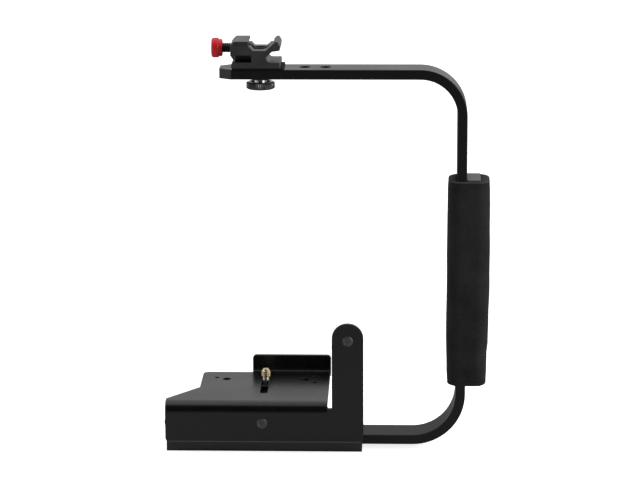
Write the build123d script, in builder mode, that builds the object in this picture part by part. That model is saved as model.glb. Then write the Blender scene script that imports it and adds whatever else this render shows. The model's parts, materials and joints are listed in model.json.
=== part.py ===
import os

from build123d import *

os.makedirs("parts", exist_ok=True)

# Camera flash bracket: a flat bar bent into a C carries the flash shoe over the lens,
# and a camera platform flips a quarter turn on two links in front of the lower rail.
# X runs to the right, Y away from the viewer, Z up. The origin is the tripod socket's mouth.

# Clearances
seat_gap = 0.05          # between pieces that are held face to face
run_gap = 0.06           # radial clearance of a shaft that turns in its bore
soft_gap = 0.25          # round the foam grip
cut_over = 1.0           # how far a cut runs past the face it leaves

# Flat bar bent into a C
bar_width = 22.2
bar_thick = 6.35
bar_edge = 0.6
bar_right = 132.15       # outer face of the upright
bar_top = 252.1          # upper face of the top arm
top_arm_left = -26.0
top_end_cut = 7.9
top_bend = 27.0          # bend radii on the bar's centre line
low_bend = 31.0
arm_hole_dia = 7.0
arm_hole_pitch = 13.2
arm_hole_first = 28.4

# Rail: an angle with a web behind the links and a flange under the bar
rail_thick = 3.5
rail_past_left = 7.2     # beyond the left pivot
rail_past_right = 9.2
bar_past_left = 5.8      # the bar's lower arm ends this far inside the left pivot
rail_front = -17.5
rail_back = 15.0
rail_over_pivot = 7.0
rail_edge = 1.4          # outer corner of the angle
rail_root = 2.0          # fillet in its inner corner
rail_corner = 4.0
end_screw_inset = 13.0
left_screw_inset = 27.0
middle_screw_place = 24.0
bar_screw_dia = 5.0
bar_screw_head = 9.4
bar_screw_cone = 2.3
bar_screw_recess = 0.3

# Tripod socket
socket_dia = 6.35
bush_dia = 12.0
bush_flange_dia = 15.0
bush_flange_thick = 1.2

# Flip mechanism: two equal links between the rail and the platform
link_reach = 55.8
pivot_height = 21.0
link_thick = 2.2
link_width = 16.0
pivot_dia = 6.0
pivot_head_dia = 10.0
pivot_head_thick = 1.6
rivet_head_dia = 7.1
rivet_head_proud = 0.8
rivet_edge = 0.35
washer_dia = 13.0
washer_thick = 0.3
pivot_recess = 0.5       # the left pin's end lies this far inside its link
stop_dia = 3.4
stop_offset = 20.0
stop_rest = 0.3
stop_short = 0.3

# Camera platform: one bent sheet
sheet_thick = 2.5
panel_past_left = 7.4    # beyond the left pivot
panel_past_right = 10.2
panel_under_pivot = 12.7
panel_corner = 2.6
table_over_rail = 6.8
table_left = -43.0
table_back = 47.5
table_corner = 4.0
front_bend = 7.0         # outer radius of the front bend
flap_bend = 5.0
flap_left = -9.9
flap_past_table = 0.4
flap_high = 11.2
flap_corner = 2.5
slant_front = -13.0      # the left edge is square up to here, then slants in
slant_back = 12.3
arm_left_of_rivet = 10.3
arm_over_rivet = 11.6
arm_round_share = 0.49   # of the arm's width: its top is a half round
relief_wide = 2.9        # between the table and the upright arm
relief_low = 3.6
slot_width = 5.0
slot_end_gap = 0.1
slot_front_gap = 0.3
screw_place = 30.0       # camera screw's distance behind the origin
screw_travel = 28.0
large_hole_dia = 5.4
large_hole_inset = 16.3  # from the table's right edge
large_hole_behind = 31.0
small_hole_dia = 3.0
left_pin_inset = 9.8
left_pin_behind = 34.4
right_pin_inset = 10.2
right_pin_behind = 37.6
front_pin_inset = 9.8
front_pin_behind = 24.0

# Camera screw and its knob
camera_thread_dia = 6.35
camera_thread_reach = 7.6
camera_shank_dia = 4.6
camera_tip_chamfer = 0.6
guide_washer_dia = 14.0
guide_washer_thick = 1.2
screw_knob_dia = 24.0
screw_knob_thick = 9.0
screw_knob_neck_dia = 13.0
screw_knob_neck = 2.0
screw_knob_flutes = 12
screw_knob_flute_dia = 3.0
screw_knob_edge = 1.0

# Flash shoe, with heights measured from the top arm's upper face
pad_thick = 1.1
pad_left = -17.4
pad_right = 15.4
pad_depth = 25.0
pad_corner = 1.5
shoe_depth = 26.0
shoe_base_left = -17.9
shoe_base_right = 13.2
shoe_base_bottom = 1.2
shoe_base_top = 4.85
shoe_base_corner = 0.7
notch_left = -16.1
notch_low = 3.6
notch_height = 6.2
notch_high = 9.2
block_left = -18.4
block_shoulder = 15.7
block_slope = -16.0
shoe_top = 18.2
lip_left = -7.1
lip_left_low = 16.0
lip_right = 9.1
lip_right_low = 17.2
channel_left = -3.9
channel_right = 4.0
channel_floor = 12.5
foot_groove_left = -8.5  # the flash foot's groove is open behind and ends at the front stop
foot_groove_right = 10.5
foot_groove_low = 14.65
foot_groove_height = 2.05
front_stop = 1.5
hook_top_left = 10.0
hook_top_right = 11.8
hook_out = 13.3
hook_shoulder = 15.4
hook_low_out = 12.9
hook_under = 12.5
neck_out = 8.1
neck_bend_height = 11.8
neck_in = 4.4
neck_foot_height = 8.4
neck_foot_out = 5.4
neck_fillet = 3.0
slit_left = -15.4        # pocket in the block's front
slit_right = -5.0
slit_low = 4.9
slit_high = 9.6
slit_deep = 8.0
face_bevel_high = 2.9    # bevels round the block's front
face_bevel_wide = 3.2
face_bevel_deep = 0.8
shoe_edge = 0.3
shoe_recess_dia = 12.5
shoe_recess_floor = 11.7

# Red lock screw of the shoe
lock_height = 12.45
lock_thread_dia = 6.35
lock_knob_left = -31.0
lock_knob_dia = 12.6
lock_knob_thick = 4.75
lock_step_dia = 11.0
lock_step_thick = 2.1
lock_knob_edge = 0.7
lock_tip_dia = 5.4
lock_tip_length = 4.0
lock_tip_end = -9.7

# Thumb screw under the top arm
thumb_dia = 18.3
thumb_thick = 4.5
thumb_gap = 3.0          # from the bar's underside to the disc's rim
thumb_dish_dia = 13.6
thumb_dish_depth = 1.5
thumb_neck_dia = 8.5
thumb_edge = 0.5
thumb_washer_dia = 14.4
thumb_washer_thick = 1.1
stud_dia = 6.2
stud_top = 10.4

# Foam grip and its filler
grip_low = 43.7
grip_top = 180.2
grip_axis = 133.6
grip_half = 13.7
grip_corner_share = 0.64
grip_height_shares = (0.0, 0.06, 0.5, 0.93, 1.0)
grip_half_shares = (0.93, 0.98, 1.0, 0.985, 0.955)
filler_right = 141.0
filler_proud = 0.6
filler_edge = 0.6

# Places worked out from the sizes above
rail_left = -link_reach - rail_past_left
rail_right = link_reach + rail_past_right
rail_height = pivot_height + rail_over_pivot
bar_screw_places = (rail_left + left_screw_inset, middle_screw_place, rail_right - end_screw_inset)
low_arm_left = bar_past_left - link_reach
bar_left = bar_right - bar_thick
bar_middle = bar_right - bar_thick / 2
top_middle = bar_top - bar_thick / 2
top_under = bar_top - bar_thick
low_under = rail_thick
low_middle = low_under + bar_thick / 2
low_top = low_under + bar_thick
pin_radius = pivot_dia / 2
stop_height = pivot_height - link_width / 2 - stop_rest - stop_dia / 2
web_back = rail_front + rail_thick
link_back = rail_front - washer_thick - 2 * seat_gap
link_front = link_back - link_thick
panel_back = link_front - washer_thick - 2 * seat_gap
panel_front = panel_back - sheet_thick
panel_left = -link_reach - panel_past_left
panel_right = link_reach + panel_past_right
panel_bottom = pivot_height - panel_under_pivot
table_top = rail_height + table_over_rail
table_under = table_top - sheet_thick
flap_top = table_top + flap_high
slot_front = screw_place - screw_travel - slot_width / 2 - slot_front_gap
arm_left = link_reach - arm_left_of_rivet
table_right = arm_left - relief_wide
flap_right = table_right + flap_past_table
relief_bottom = table_top - relief_low
rivet_height = pivot_height + link_reach
arm_top = rivet_height + arm_over_rivet
arm_corner = (panel_right - arm_left) * arm_round_share
flap_front = table_back + flap_bend - sheet_thick
lock_z = bar_top + lock_height


def save(part, name):
    part.label = name
    export_step(part, "parts/" + name + ".step")


def turned(name, plane, outline):
    """A round piece turned from an outline of radius and height on its plane."""
    half = Plane(plane.origin, x_dir=plane.x_dir, z_dir=plane.x_dir.cross(plane.z_dir))
    with BuildPart() as piece:
        with BuildSketch(half):
            with BuildLine():
                Polyline(*outline, close=True)
            make_face()
        revolve(axis=Axis(plane.origin, plane.z_dir))
    save(piece.part, name)
    return piece.part


# Bent flat bar
with BuildPart() as frame_bar:
    with BuildLine(Plane.XZ) as bar_path:
        FilletPolyline((top_arm_left, top_middle), (bar_middle, top_middle),
                       (bar_middle, low_middle), (low_arm_left, low_middle),
                       radius=[top_bend, low_bend])
    with BuildSketch(Plane((top_arm_left, 0, top_middle), x_dir=(0, 1, 0), z_dir=(1, 0, 0))):
        RectangleRounded(bar_width, bar_thick, bar_edge)
    sweep()
    # the top arm's free end is cut back at both corners
    with BuildSketch(Plane.XY.offset(top_under - cut_over)):
        with BuildLine():
            Polyline((top_arm_left - cut_over, -bar_width / 2 - cut_over),
                     (top_arm_left + top_end_cut, -bar_width / 2 - cut_over),
                     (top_arm_left + top_end_cut, -bar_width / 2),
                     (top_arm_left, -bar_width / 4),
                     (top_arm_left - cut_over, -bar_width / 4), close=True)
        make_face()
        mirror(about=Plane.XZ)
    extrude(amount=bar_thick + 2 * cut_over, mode=Mode.SUBTRACT)
    second_hole = arm_hole_first + arm_hole_pitch
    with Locations((0, 0, bar_top), (arm_hole_first, 0, bar_top), (second_hole, 0, bar_top)):
        Hole(arm_hole_dia / 2, depth=bar_thick)
    with Locations(*[(x, 0, low_top) for x in bar_screw_places]):
        Hole(bar_screw_dia / 2 + seat_gap, depth=bar_thick)
    with Locations((0, 0, low_top)):
        Hole(bush_dia / 2 + seat_gap, depth=bar_thick)
save(frame_bar.part, "frame_bar")

# Rail
with BuildPart() as base_rail:
    with BuildSketch(Plane.YZ.offset(rail_left)):
        with BuildLine():
            Polyline((rail_front, 0), (rail_back, 0), (rail_back, rail_thick),
                     (rail_front + rail_thick, rail_thick), (rail_front + rail_thick, rail_height),
                     (rail_front, rail_height), close=True)
        section = make_face()
        fillet(section.vertices().sort_by_distance((rail_left, rail_front, 0))[0], rail_edge)
        fillet(section.vertices().sort_by_distance((rail_left, rail_front + rail_thick, rail_thick))[0],
               rail_root)
    extrude(amount=rail_right - rail_left)
    web_corners = base_rail.edges().filter_by(Axis.Y).group_by(Axis.Z)[-1]
    fillet(web_corners, rail_corner)
    flange_corners = base_rail.edges().filter_by(Axis.Z).group_by(Axis.Y)[-1]
    fillet(flange_corners, rail_corner)
    # flange: countersunk screws and the tripod bush
    with Locations(*[Location((x, 0, 0), (180, 0, 0)) for x in bar_screw_places]):
        CounterSinkHole(bar_screw_dia / 2 + seat_gap, bar_screw_head / 2 + seat_gap, depth=rail_thick)
    with Locations((0, 0, rail_thick)):
        Hole(bush_dia / 2 + seat_gap, depth=rail_thick)
    # web: pivots and stops
    with BuildSketch(Plane.XZ.offset(-rail_front + cut_over)):
        with Locations((-link_reach, pivot_height), (link_reach, pivot_height)):
            Circle(pivot_dia / 2 + seat_gap)
        with Locations((-stop_offset, stop_height), (stop_offset, stop_height)):
            Circle(stop_dia / 2 + seat_gap)
    extrude(amount=-rail_thick - 2 * cut_over, mode=Mode.SUBTRACT)
save(base_rail.part, "base_rail")

# Countersunk screws that hold the bar to the rail
with BuildPart() as base_screws:
    with BuildSketch(Plane.XZ):
        with BuildLine():
            Polyline((0, bar_screw_recess), (bar_screw_head / 2 - bar_screw_recess, bar_screw_recess),
                     (bar_screw_dia / 2, bar_screw_cone), (bar_screw_dia / 2, low_top - bar_screw_recess),
                     (0, low_top - bar_screw_recess), close=True)
        make_face()
    screw_form = revolve(axis=Axis.Z, mode=Mode.PRIVATE)
    with Locations(*[(x, 0, 0) for x in bar_screw_places]):
        add(screw_form)
save(base_screws.part, "base_screws")

# Threaded bush
flange_top = low_top + bush_flange_thick
turned("tripod_bush", Plane.XY,
       [(socket_dia / 2, 0), (bush_dia / 2, 0), (bush_dia / 2, low_top),
        (bush_flange_dia / 2, low_top), (bush_flange_dia / 2, flange_top),
        (socket_dia / 2, flange_top)])


def pivot_plane(x, z):
    """Plane across a pivot, whose normal points to the viewer; heights on it are minus Y."""
    return Plane((x, 0, z), x_dir=(1, 0, 0), z_dir=(0, -1, 0))


# Fixed pivots: the left one carries its link, the right one ends at the opened joint face
for name, x, front in (("pivot_pin_left", -link_reach, link_front + pivot_recess),
                       ("pivot_pin_right", link_reach, rail_front - washer_thick)):
    turned(name, pivot_plane(x, pivot_height),
           [(0, -web_back - pivot_head_thick), (pivot_head_dia / 2, -web_back - pivot_head_thick),
            (pivot_head_dia / 2, -web_back - seat_gap), (pin_radius, -web_back - seat_gap),
            (pin_radius, -front), (0, -front)])

turned("pivot_tail_right", pivot_plane(link_reach, pivot_height),
       [(0, -link_back + seat_gap), (pin_radius, -link_back + seat_gap),
        (pin_radius, -link_front - seat_gap), (0, -link_front - seat_gap)])

with BuildPart() as stop_pins:
    with BuildSketch(Plane.XZ.offset(-web_back)):
        with Locations((-stop_offset, stop_height), (stop_offset, stop_height)):
            Circle(stop_dia / 2)
    extrude(amount=web_back - link_front - stop_short)
save(stop_pins.part, "stop_pins")

# Rivets through the panel, flush at the back of the links
head_start = -panel_front + seat_gap
head_end = -panel_front + rivet_head_proud
for name, x, z in (("pivot_rivet_center", 0, pivot_height),
                   ("pivot_rivet_arm", link_reach, rivet_height)):
    turned(name, pivot_plane(x, z),
           [(0, -link_back + seat_gap), (pin_radius, -link_back + seat_gap), (pin_radius, head_start),
            (rivet_head_dia / 2, head_start), (rivet_head_dia / 2, head_end - rivet_edge),
            (rivet_head_dia / 2 - rivet_edge, head_end), (0, head_end)])

# Friction washers: behind the links at the rail, and in front of them at the panel
for name, x, z, back in (("washer_left", -link_reach, pivot_height, rail_front),
                         ("washer_right", link_reach, pivot_height, rail_front),
                         ("washer_center", 0, pivot_height, link_front),
                         ("washer_arm", link_reach, rivet_height, link_front)):
    near = -back + seat_gap
    turned(name, pivot_plane(x, z),
           [(pin_radius + run_gap, near), (washer_dia / 2, near), (washer_dia / 2, near + washer_thick),
            (pin_radius + run_gap, near + washer_thick)])

# Links
for name, fixed_end, moving_end in (
        ("link_left", (-link_reach, pivot_height), (0, pivot_height)),
        ("link_right", (link_reach, pivot_height), (link_reach, rivet_height))):
    middle = ((fixed_end[0] + moving_end[0]) / 2, (fixed_end[1] + moving_end[1]) / 2)
    with BuildPart() as link:
        with BuildSketch(Plane.XZ.offset(-link_back)):
            SlotCenterPoint(middle, moving_end, link_width)
            with Locations(fixed_end, moving_end):
                Circle(pin_radius + run_gap, mode=Mode.SUBTRACT)
        extrude(amount=link_thick)
    save(link.part, name)

# Camera platform
with BuildPart() as camera_platform:
    sheet_half = sheet_thick / 2
    with BuildLine(Plane.YZ.offset(panel_left)) as sheet_path:
        FilletPolyline((panel_back - sheet_half, panel_bottom),
                       (panel_back - sheet_half, table_top - sheet_half),
                       (flap_front + sheet_half, table_top - sheet_half),
                       (flap_front + sheet_half, flap_top),
                       radius=[front_bend - sheet_half, flap_bend - sheet_half])
    panel_foot = (panel_left, panel_back - sheet_half, panel_bottom)
    with BuildSketch(Plane(panel_foot, x_dir=(1, 0, 0), z_dir=(0, 0, 1))):
        with Locations(((flap_right - panel_left) / 2, 0)):
            Rectangle(flap_right - panel_left, sheet_thick)
    sweep()
    # plan of the table: what lies outside it is cut away
    with BuildSketch(Plane.XY.offset(table_under - cut_over)):
        with BuildLine():
            Polyline((panel_left - cut_over, slant_front), (panel_left, slant_front),
                     (table_left, slant_back), (table_left, table_back), (flap_left, table_back),
                     (flap_left, flap_front + 2 * sheet_thick),
                     (panel_left - cut_over, flap_front + 2 * sheet_thick), close=True)
        make_face()
    extrude(amount=flap_top - table_under + 2 * cut_over, mode=Mode.SUBTRACT)
    with BuildSketch(Plane.XY.offset(table_under - cut_over)):
        with BuildLine():
            Polyline((table_right, panel_front - cut_over), (flap_right + cut_over, panel_front - cut_over),
                     (flap_right + cut_over, table_back), (table_right, table_back), close=True)
        make_face()
    extrude(amount=flap_top - table_under + 2 * cut_over, mode=Mode.SUBTRACT)
    # right end of the panel with the upright arm
    with BuildSketch(Plane.XZ.offset(-panel_back)):
        with BuildLine():
            Polyline((table_left, panel_bottom), (panel_right, panel_bottom), (panel_right, arm_top),
                     (arm_left, arm_top), (arm_left, relief_bottom), (table_right, relief_bottom),
                     (table_right, table_top - front_bend), (table_left, table_top - front_bend), close=True)
        outline = make_face()
        fillet(outline.vertices().group_by(Axis.Y)[-1], arm_corner)
    extrude(amount=sheet_thick)
    lower = camera_platform.edges().filter_by(Axis.Y).group_by(Axis.Z)[0]
    fillet(lower, panel_corner)
    flap_ends = camera_platform.edges().filter_by(Axis.Y).filter_by_position(
        Axis.Z, flap_top - seat_gap, flap_top + seat_gap)
    fillet(flap_ends, flap_corner)
    left_edges = camera_platform.edges().filter_by(Axis.Z).filter_by_position(
        Axis.X, table_left - seat_gap, table_left + seat_gap)
    fillet(left_edges.sort_by(Axis.Y)[-1], table_corner)
    # slot and holes of the table
    slot_length = screw_place + slot_width / 2 + slot_end_gap - slot_front
    with BuildSketch(Plane.XY.offset(table_top + cut_over)):
        with Locations((0, slot_front + slot_length / 2)):
            SlotOverall(slot_length, slot_width, rotation=90)
        large_hole_out = table_right - large_hole_inset
        with Locations((-large_hole_out, large_hole_behind), (large_hole_out, large_hole_behind)):
            Circle(large_hole_dia / 2)
        with Locations((table_left + left_pin_inset, left_pin_behind),
                       (table_right - right_pin_inset, right_pin_behind),
                       (table_right - front_pin_inset, front_pin_behind)):
            Circle(small_hole_dia / 2)
    extrude(amount=-sheet_thick - 2 * cut_over, mode=Mode.SUBTRACT)
    with BuildSketch(Plane.XZ.offset(-panel_front + cut_over)):
        with Locations((0, pivot_height), (link_reach, rivet_height)):
            Circle(pin_radius + seat_gap)
    extrude(amount=-sheet_thick - 2 * cut_over, mode=Mode.SUBTRACT)
save(camera_platform.part, "camera_platform")

# Captive camera screw: thread above the table, a thinner shank in the slot
screw_plane = Plane((0, screw_place, 0))
washer_low = table_under - seat_gap - guide_washer_thick
knob_high = washer_low - seat_gap
turned("camera_screw", screw_plane,
       [(0, knob_high - screw_knob_neck - screw_knob_thick / 2),
        (camera_shank_dia / 2, knob_high - screw_knob_neck - screw_knob_thick / 2),
        (camera_shank_dia / 2, table_top + soft_gap), (camera_thread_dia / 2, table_top + soft_gap),
        (camera_thread_dia / 2, table_top + camera_thread_reach - camera_tip_chamfer),
        (camera_thread_dia / 2 - camera_tip_chamfer, table_top + camera_thread_reach),
        (0, table_top + camera_thread_reach)])
turned("screw_washer", screw_plane,
       [(camera_shank_dia / 2 + run_gap, washer_low), (guide_washer_dia / 2, washer_low),
        (guide_washer_dia / 2, table_under - seat_gap),
        (camera_shank_dia / 2 + run_gap, table_under - seat_gap)])

with BuildPart() as screw_knob:
    with BuildSketch(Plane((0, screw_place, knob_high))):
        Circle(screw_knob_neck_dia / 2)
    extrude(amount=-screw_knob_neck)
    with BuildSketch(Plane((0, screw_place, knob_high - screw_knob_neck))):
        Circle(screw_knob_dia / 2)
        with PolarLocations(screw_knob_dia / 2, screw_knob_flutes):
            Circle(screw_knob_flute_dia / 2, mode=Mode.SUBTRACT)
    extrude(amount=-screw_knob_thick)
    chamfer(screw_knob.faces().sort_by(Axis.Z)[0].outer_wire().edges(), screw_knob_edge)
    with BuildSketch(Plane((0, screw_place, knob_high + cut_over))):
        Circle(camera_shank_dia / 2 + seat_gap)
    extrude(amount=-screw_knob_neck - screw_knob_thick / 2 - cut_over - seat_gap, mode=Mode.SUBTRACT)
save(screw_knob.part, "screw_knob")

# Flash shoe
with BuildPart() as shoe_pad:
    with BuildSketch(Plane.XY.offset(bar_top + seat_gap)):
        with Locations(((pad_left + pad_right) / 2, 0)):
            RectangleRounded(pad_right - pad_left, pad_depth, pad_corner)
        Circle(arm_hole_dia / 2, mode=Mode.SUBTRACT)
    extrude(amount=pad_thick)
save(shoe_pad.part, "shoe_pad")

shoe_front = -shoe_depth / 2
shoe_plane = Plane((0, shoe_front, bar_top), x_dir=(1, 0, 0), z_dir=(0, -1, 0))
with BuildPart() as shoe_body:
    with BuildSketch(shoe_plane):
        with BuildLine():
            Polyline((shoe_base_left, shoe_base_bottom), (shoe_base_left, notch_low),
                     (notch_left, notch_height), (block_left, notch_high),
                     (block_left, block_shoulder), (block_slope, shoe_top),
                     (lip_left, shoe_top), (lip_left, lip_left_low), (channel_left, channel_floor),
                     (channel_right, channel_floor), (lip_right, lip_right_low),
                     (hook_top_left, shoe_top), (hook_top_right, shoe_top), (hook_out, hook_shoulder),
                     (hook_low_out, hook_under), (neck_out, neck_bend_height),
                     (neck_in, neck_foot_height), (neck_foot_out, shoe_base_top),
                     (shoe_base_right, shoe_base_top), (shoe_base_right, shoe_base_bottom),
                     close=True)
        make_face()
    extrude(amount=-shoe_depth)
    neck_foot = (neck_foot_out, 0, bar_top + shoe_base_top)
    fillet(shoe_body.edges().filter_by(Axis.Y).sort_by_distance(neck_foot)[0], neck_fillet)
    base_corners = (shoe_body.edges().filter_by(Axis.Z)
                    .filter_by_position(Axis.X, shoe_base_right - seat_gap, shoe_base_right + seat_gap))
    fillet(base_corners, shoe_base_corner)
    end_faces = shoe_body.faces().sort_by(Axis.Y)
    end_edges = end_faces[0].outer_wire().edges() + end_faces[-1].outer_wire().edges()
    chamfer(end_edges, shoe_edge)
    # groove for the flash foot, from behind up to the front stop
    groove_middle = ((foot_groove_left + foot_groove_right) / 2, foot_groove_low + foot_groove_height / 2)
    with BuildSketch(shoe_plane.offset(-front_stop)):
        with Locations(groove_middle):
            Rectangle(foot_groove_right - foot_groove_left, foot_groove_height)
    extrude(amount=-shoe_depth, mode=Mode.SUBTRACT)
    # pocket and bevels of the block's front
    with BuildSketch(shoe_plane):
        with Locations(((slit_left + slit_right) / 2, (slit_low + slit_high) / 2)):
            Rectangle(slit_right - slit_left, slit_high - slit_low)
    extrude(amount=-slit_deep, mode=Mode.SUBTRACT)
    with BuildSketch(Plane.YZ.offset(lip_left)):
        with BuildLine():
            Polyline((shoe_front, bar_top + shoe_top - face_bevel_high),
                     (shoe_front + face_bevel_deep, bar_top + shoe_top),
                     (shoe_front - cut_over, bar_top + shoe_top + cut_over),
                     (shoe_front - cut_over, bar_top + shoe_top - face_bevel_high), close=True)
        make_face()
    extrude(amount=block_left - lip_left, mode=Mode.SUBTRACT)
    with BuildSketch(Plane.XY.offset(bar_top + notch_height)):
        with BuildLine():
            Polyline((block_left + face_bevel_wide, shoe_front), (block_left, shoe_front + face_bevel_deep),
                     (block_left - cut_over, shoe_front - cut_over),
                     (block_left + face_bevel_wide, shoe_front - cut_over), close=True)
        make_face()
    extrude(amount=shoe_top, mode=Mode.SUBTRACT)
    # the thumb screw's hole from below opens into a round recess in the channel's floor
    with BuildSketch(Plane.XY.offset(bar_top)):
        Circle(stud_dia / 2 + run_gap)
    extrude(amount=shoe_top, mode=Mode.SUBTRACT)
    with BuildSketch(Plane.XY.offset(bar_top + shoe_recess_floor)):
        Circle(shoe_recess_dia / 2)
    extrude(amount=shoe_top, mode=Mode.SUBTRACT)
    # the lock screw's bore, from the left into that hole
    with BuildSketch(Plane((block_left - cut_over, 0, lock_z), x_dir=(0, 1, 0), z_dir=(1, 0, 0))):
        Circle(lock_thread_dia / 2 + run_gap)
    extrude(amount=cut_over - block_left, mode=Mode.SUBTRACT)
save(shoe_body.part, "shoe_body")

# Red lock screw
lock_plane = Plane((0, 0, lock_z), x_dir=(0, 1, 0), z_dir=(1, 0, 0))
step_end = lock_knob_left + lock_knob_thick + lock_step_thick
step_start = lock_knob_left + lock_knob_thick
tip_start = lock_tip_end - lock_tip_length
turned("shoe_lock_knob", lock_plane,
       [(0, lock_knob_left), (lock_knob_dia / 2 - lock_knob_edge, lock_knob_left),
        (lock_knob_dia / 2, lock_knob_left + lock_knob_edge),
        (lock_knob_dia / 2, step_start - lock_knob_edge / 2),
        (lock_knob_dia / 2 - lock_knob_edge / 2, step_start),
        (lock_step_dia / 2, step_start), (lock_step_dia / 2, step_end - lock_knob_edge / 2),
        (lock_step_dia / 2 - lock_knob_edge / 2, step_end), (0, step_end)])
turned("shoe_lock_screw", lock_plane,
       [(0, step_end + seat_gap), (lock_thread_dia / 2, step_end + seat_gap),
        (lock_thread_dia / 2, tip_start - seat_gap), (0, tip_start - seat_gap)])
turned("shoe_lock_tip", lock_plane,
       [(0, tip_start), (lock_tip_dia / 2, tip_start), (lock_tip_dia / 2, lock_tip_end - lock_knob_edge),
        (lock_tip_dia / 2 - lock_knob_edge, lock_tip_end), (0, lock_tip_end)])

# Thumb screw with its stud, and the washer under the arm
disc_high = top_under - thumb_gap
disc_low = disc_high - thumb_thick
dish_floor = disc_high - thumb_dish_depth
washer_under = top_under - seat_gap - thumb_washer_thick
turned("thumb_screw", Plane.XY,
       [(0, disc_low), (thumb_dia / 2 - thumb_edge, disc_low), (thumb_dia / 2, disc_low + thumb_edge),
        (thumb_dia / 2, disc_high - thumb_edge), (thumb_dia / 2 - thumb_edge, disc_high),
        (thumb_dish_dia / 2, disc_high), (thumb_neck_dia / 2, dish_floor),
        (thumb_neck_dia / 2, washer_under - seat_gap), (stud_dia / 2, washer_under - seat_gap),
        (stud_dia / 2, bar_top + stud_top), (0, bar_top + stud_top)])
turned("thumb_washer", Plane.XY,
       [(arm_hole_dia / 2, washer_under), (thumb_washer_dia / 2, washer_under),
        (thumb_washer_dia / 2, top_under - seat_gap), (arm_hole_dia / 2, top_under - seat_gap)])

# Foam grip over the bar and its filler
grip_length = grip_top - grip_low
with BuildPart() as grip_foam:
    for height_share, half_share in zip(grip_height_shares, grip_half_shares):
        with BuildSketch(Plane((grip_axis, 0, grip_low + grip_length * height_share))):
            RectangleRounded(2 * grip_half * half_share, 2 * grip_half * half_share,
                             grip_half * half_share * grip_corner_share)
    loft()
    with BuildSketch(Plane((0, 0, grip_low - cut_over))):
        with Locations(((bar_left + filler_right) / 2, 0)):
            Rectangle(filler_right - bar_left + 2 * soft_gap, bar_width + 2 * soft_gap)
    extrude(amount=grip_length + 2 * cut_over, mode=Mode.SUBTRACT)
save(grip_foam.part, "grip_foam")

with BuildPart() as grip_filler:
    filler_left = bar_right + seat_gap
    with BuildSketch(Plane((0, 0, grip_low + filler_proud))):
        with Locations(((filler_left + filler_right) / 2, 0)):
            RectangleRounded(filler_right - filler_left, bar_width, filler_edge)
    extrude(amount=grip_length)
save(grip_filler.part, "grip_filler")
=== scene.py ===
import bpy
import json
import math
from mathutils import Matrix, Vector, noise


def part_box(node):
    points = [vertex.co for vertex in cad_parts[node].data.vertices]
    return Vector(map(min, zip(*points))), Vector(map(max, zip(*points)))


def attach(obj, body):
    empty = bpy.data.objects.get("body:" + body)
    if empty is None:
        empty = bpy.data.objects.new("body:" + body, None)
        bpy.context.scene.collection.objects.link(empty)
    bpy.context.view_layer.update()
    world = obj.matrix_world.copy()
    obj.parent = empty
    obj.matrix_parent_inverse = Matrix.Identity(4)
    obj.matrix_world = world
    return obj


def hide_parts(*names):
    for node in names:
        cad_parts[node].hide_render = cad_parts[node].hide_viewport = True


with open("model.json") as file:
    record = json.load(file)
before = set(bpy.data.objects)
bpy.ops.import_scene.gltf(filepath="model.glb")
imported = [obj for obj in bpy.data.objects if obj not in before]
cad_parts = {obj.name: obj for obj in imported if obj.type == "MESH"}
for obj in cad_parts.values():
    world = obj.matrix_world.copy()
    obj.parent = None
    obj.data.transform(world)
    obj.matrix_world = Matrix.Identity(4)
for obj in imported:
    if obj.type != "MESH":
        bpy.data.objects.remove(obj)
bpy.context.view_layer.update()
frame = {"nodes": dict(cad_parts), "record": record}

mm = 0.001
quarterTurn = math.pi / 2
print("frame loaded")


# Geometry helpers

def meshObject(name, points, faces, smoothAngle=35):
    mesh = bpy.data.meshes.new(name)
    mesh.from_pydata([tuple(p) for p in points], [], faces)
    mesh.validate()
    mesh.polygons.foreach_set("use_smooth", [True] * len(mesh.polygons))
    mesh.set_sharp_from_angle(angle=math.radians(smoothAngle))
    mesh.update()
    piece = bpy.data.objects.new(name, mesh)
    bpy.context.scene.collection.objects.link(piece)
    return piece


# Faces between rings of equally many points; closed joins the last ring to the first
def joinRings(rings, closed=False, caps=False):
    count = len(rings[0])
    points = [p for ring in rings for p in ring]
    faces = []
    last = len(rings) if closed else len(rings) - 1
    for i in range(last):
        a, b = i * count, ((i + 1) % len(rings)) * count
        for k in range(count):
            n = (k + 1) % count
            faces.append((a + k, a + n, b + n, b + k))
    if caps:
        faces.append(tuple(reversed(range(count))))
        faces.append(tuple((len(rings) - 1) * count + k for k in range(count)))
    return points, faces


# Rings round an axis from (height, radius) pairs; a radius may be a function of the angle
def turnedRings(profile, place, segments):
    rings = []
    for height, radius in profile:
        ring = []
        for k in range(segments):
            angle = 2 * math.pi * k / segments
            r = radius(angle) if callable(radius) else radius
            ring.append(place @ Vector((r * math.cos(angle), r * math.sin(angle), height)))
        rings.append(ring)
    return rings


def turnedPiece(name, profile, place, segments, closed=False, smoothAngle=35):
    points, faces = joinRings(turnedRings(profile, place, segments), closed, caps=not closed)
    return meshObject(name, points, faces, smoothAngle)


# Corner of a profile from (height, radius) pairs counted back from it in units of size;
# side is 1 where the profile comes up from the corner, and -1 where it runs up to it
def cornerPoints(height, radius, steps, side, size=1.0):
    return [(height + side * size * up, radius - size * less) for up, less in steps]


threadShape = {"steep": 1.3, "rootFlat": 0.12, "startShare": 0.6}


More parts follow.
